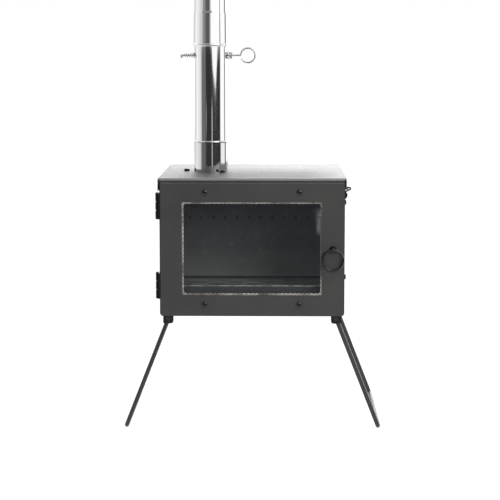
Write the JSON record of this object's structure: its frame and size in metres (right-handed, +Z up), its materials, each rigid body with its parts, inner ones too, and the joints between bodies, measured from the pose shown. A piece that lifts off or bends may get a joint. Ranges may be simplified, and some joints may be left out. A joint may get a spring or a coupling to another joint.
{
  "type": "tent wood stove",
  "caption": "Sheet-steel tent stove on folding wire legs, with a glazed ring-handled door, a side air shutter and a flue pipe with a turning damper.",
  "frame": {"origin": "on the floor under the middle of the whole stove, legs and flue included", "axes": "+Z up along the flue; +X to the right seen from the front; the door faces -Y"},
  "size_m": [0.451, 0.368, 0.9175],
  "materials": {
    "black_enamel": "matt black heat-proof paint on folded sheet steel",
    "firebox_steel": "dark heat-proof paint, a little dusty with ash",
    "black_fittings": "blackened steel fittings",
    "black_screws": "black oxide on steel screws",
    "leg_rod": "satin black paint on steel rod",
    "polished_steel": "mirror-polished stainless steel tube",
    "steel_wire": "bright drawn stainless steel wire",
    "fire_glass": "clear ceramic stove glass",
    "glass_fibre": "grey-white braided glass-fibre tape and rope"
  },
  "bodies": {
    "casing": {"casing_shell": "black_enamel", "front_frame": "black_enamel", "back_panel": "black_enamel", "lid": "black_enamel", "air_baffle": "firebox_steel", "log_guard": "firebox_steel", "flue_collar": "polished_steel", "collar_screws": "black_screws", "collar_nuts": "black_screws", "hinge_upper_casing_leaf": "black_fittings", "hinge_upper_pin": "black_fittings", "hinge_lower_casing_leaf": "black_fittings", "hinge_lower_pin": "black_fittings", "hinge_rivets": "black_fittings", "bracket_front_left": "black_fittings", "bracket_front_right": "black_fittings", "bracket_rear_left": "black_fittings", "bracket_rear_right": "black_fittings", "bracket_rivets": "black_fittings", "shutter_guides": "black_fittings", "shutter_rivets": "black_fittings", "shelf_eye_front": "black_fittings", "shelf_eye_rear": "black_fittings", "side_screws": "black_screws", "side_nuts": "black_screws"},
    "door": {"door_panel": "black_enamel", "door_glass": "fire_glass", "glass_gasket": "glass_fibre", "glass_retainer": "firebox_steel", "door_screws": "black_screws", "door_nuts": "black_screws", "door_seal": "glass_fibre", "hinge_upper_door_leaf": "black_fittings", "hinge_lower_door_leaf": "black_fittings", "latch_bush": "black_fittings"},
    "latch": {"latch_eye": "black_fittings", "latch_cam": "black_fittings", "latch_nut": "black_fittings"},
    "ring": {"ring_handle": "black_fittings"},
    "left_leg": {"leg_left": "leg_rod"},
    "right_leg": {"leg_right": "leg_rod"},
    "shutter": {"air_shutter": "black_fittings", "shutter_knob": "steel_wire"},
    "fire_grate": {"grate": "firebox_steel"},
    "lower_flue": {"damper_pipe": "polished_steel"},
    "damper": {"damper_plate": "steel_wire", "damper_rod": "steel_wire", "damper_spring": "steel_wire", "damper_cuff": "steel_wire", "damper_washers": "steel_wire"},
    "upper_flue": {"upper_pipe": "polished_steel"}
  },
  "joints": [
    {"name": "door_swing", "type": "hinge", "parent": "casing", "child": "door", "pos_m": [-0.1636, -0.1575, 0.3265], "axis": [0, 0, -1], "range_deg": [0, 115]},
    {"name": "latch_turn", "type": "hinge", "parent": "door", "child": "latch", "pos_m": [0.139, -0.17, 0.3215], "axis": [0, -1, 0], "range_deg": [0, 90]},
    {"name": "ring_swing", "type": "hinge", "parent": "latch", "child": "ring", "pos_m": [0.139, -0.179, 0.3215], "axis": [-1, 0, 0], "range_deg": [-6, 95]},
    {"name": "leg_left_fold", "type": "hinge", "parent": "casing", "child": "left_leg", "pos_m": [-0.1458, 0.0145, 0.1975], "axis": [0, -1, 0], "range_deg": [0, 110]},
    {"name": "leg_right_fold", "type": "hinge", "parent": "casing", "child": "right_leg", "pos_m": [0.1458, 0.0145, 0.1975], "axis": [0, 1, 0], "range_deg": [0, 100]},
    {"name": "air_slide", "type": "slide", "parent": "casing", "child": "shutter", "axis": [0, -1, 0], "range_m": [0, 0.015]},
    {"name": "grate_lift", "type": "slide", "parent": "casing", "child": "fire_grate", "axis": [0, 0, 1], "range_m": [0, 0.03]},
    {"name": "lower_flue_lift", "type": "slide", "parent": "casing", "child": "lower_flue", "axis": [0, 0, 1], "range_m": [0, 0.05]},
    {"name": "damper_turn", "type": "hinge", "parent": "lower_flue", "child": "damper", "pos_m": [-0.077, 0.0145, 0.652], "axis": [1, 0, 0], "continuous": true},
    {"name": "upper_flue_lift", "type": "slide", "parent": "lower_flue", "child": "upper_flue", "axis": [0, 0, 1], "range_m": [0, 0.055]}
  ]
}
